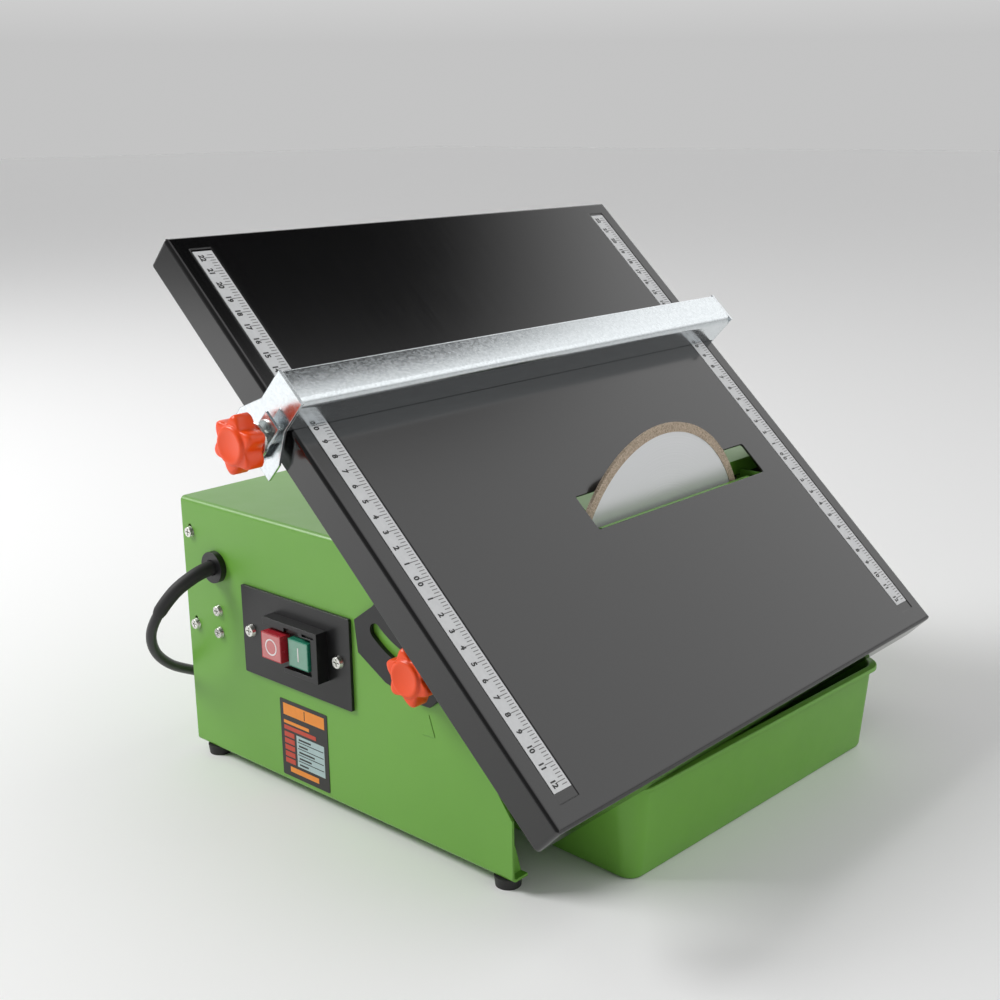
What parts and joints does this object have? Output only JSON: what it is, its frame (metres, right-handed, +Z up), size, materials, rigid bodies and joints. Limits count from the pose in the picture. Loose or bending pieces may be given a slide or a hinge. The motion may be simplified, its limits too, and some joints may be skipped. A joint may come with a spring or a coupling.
{
  "type": "wet tile saw",
  "caption": "Bench wet tile saw with a sheet-metal body, tilting table, clamped rip fence, diamond blade, hidden motor, switch and a water tub under the blade.",
  "frame": {"origin": "on the floor, straight below the middle of the blade, which is also a point on the underside of the water tub", "axes": "+X down the tilted table and along the arbor, +Y along the blade away from the switch panel, +Z up"},
  "size_m": [0.3979, 0.528, 0.3323],
  "materials": {
    "green_paint": "satin powder coat",
    "dark_paint": "satin powder coat",
    "table_paint": "smooth satin coat",
    "galvanised": "spangled zinc",
    "zinc_plated": "bright zinc plate",
    "steel": "machined",
    "blade_steel": "ground disc",
    "diamond_rim": "sintered grit",
    "rubber": "matt",
    "cord_rubber": "matt",
    "black_plastic": "fine grain",
    "orange_plastic": "satin",
    "red_plastic": "gloss",
    "green_plastic": "gloss",
    "tub_plastic": "satin",
    "label_film": "printed film",
    "scale_film": "printed film",
    "motor_alloy": "cast",
    "lamination": "stacked sheet",
    "copper": "varnished wire",
    "white_plastic": "satin"
  },
  "bodies": {
    "base": {"body_shell": "green_paint", "end_cover": "green_paint", "motor_plate": "dark_paint", "splash_guard": "green_paint", "guard_screws": "zinc_plated", "cover_screws": "zinc_plated", "feet": "rubber", "foot_screws": "zinc_plated", "info_label": "label_film", "cable_gland": "black_plastic", "cable_sleeve": "rubber", "cord": "cord_rubber", "cord_coil": "cord_rubber", "cord_tail": "cord_rubber", "plug_body": "rubber", "plug_pins": "zinc_plated", "cord_clamp": "galvanised", "clamp_screws": "zinc_plated", "terminal_block": "white_plastic", "switch_plate": "black_plastic", "switch_screws": "zinc_plated", "switch_housing": "black_plastic", "pivot_pins": "zinc_plated", "tilt_studs": "zinc_plated", "tilt_washers": "zinc_plated", "motor_housing": "motor_alloy", "front_bell": "motor_alloy", "rear_bell": "motor_alloy", "fan_cover": "dark_paint", "motor_screws": "zinc_plated", "stator_core": "lamination", "front_winding": "copper", "rear_winding": "copper", "front_bearing": "steel", "rear_bearing": "steel", "capacitor": "white_plastic", "capacitor_clip": "galvanised"},
    "table": {"table_pan": "table_paint", "bracket_near": "dark_paint", "bracket_far": "dark_paint", "scale_near": "scale_film", "scale_far": "scale_film"},
    "fence": {"fence_beam": "galvanised", "fence_end_plate": "galvanised", "fence_hook": "galvanised"},
    "fence_clamp": {"fence_stud": "zinc_plated", "fence_knob": "orange_plastic"},
    "tilt_clamp_near": {"tilt_knob_near": "orange_plastic"},
    "tilt_clamp_far": {"tilt_knob_far": "orange_plastic"},
    "spindle": {"blade_core": "blade_steel", "blade_rim": "diamond_rim", "inner_flange": "steel", "outer_flange": "steel", "arbor_nut": "steel", "motor_shaft": "steel", "rotor_core": "lamination", "cooling_fan": "black_plastic"},
    "stop_key": {"stop_button": "red_plastic"},
    "start_key": {"start_button": "green_plastic"},
    "tub": {"water_tub": "tub_plastic"}
  },
  "joints": [
    {"name": "table_tilt", "type": "hinge", "parent": "base", "child": "table", "pos_m": [-0.0117, 0, 0.1661], "axis": [0, 1, 0], "range_deg": [-43, 0.5]},
    {"name": "fence_slide", "type": "slide", "parent": "table", "child": "fence", "axis": [0.7314, 0, -0.682], "range_m": [-0.103, 0.06]},
    {"name": "fence_clamp_turn", "type": "hinge", "parent": "fence", "child": "fence_clamp", "pos_m": [-0.07928, -0.25, 0.23541], "axis": [0, -1, 0], "range_deg": [0, 360]},
    {"name": "tilt_clamp_near_turn", "type": "hinge", "parent": "base", "child": "tilt_clamp_near", "pos_m": [-0.00676, -0.21, 0.11283], "axis": [0, -1, 0], "range_deg": [0, 360]},
    {"name": "tilt_clamp_far_turn", "type": "hinge", "parent": "base", "child": "tilt_clamp_far", "pos_m": [-0.00676, 0.155, 0.11283], "axis": [0, 1, 0], "range_deg": [0, 360]},
    {"name": "blade_spin", "type": "hinge", "parent": "base", "child": "spindle", "pos_m": [0, 0, 0.1234], "axis": [1, 0, 0], "continuous": true},
    {"name": "stop_press", "type": "slide", "parent": "base", "child": "stop_key", "axis": [0, 1, 0], "range_m": [0, 0.003], "stiffness_N_per_m": 400, "springref_m": -0.002},
    {"name": "start_press", "type": "slide", "parent": "base", "child": "start_key", "axis": [0, 1, 0], "range_m": [0, 0.003], "stiffness_N_per_m": 400, "springref_m": -0.002},
    {"name": "tub_slide", "type": "slide", "parent": "base", "child": "tub", "axis": [1, 0, 0], "range_m": [0, 0.1]}
  ]
}
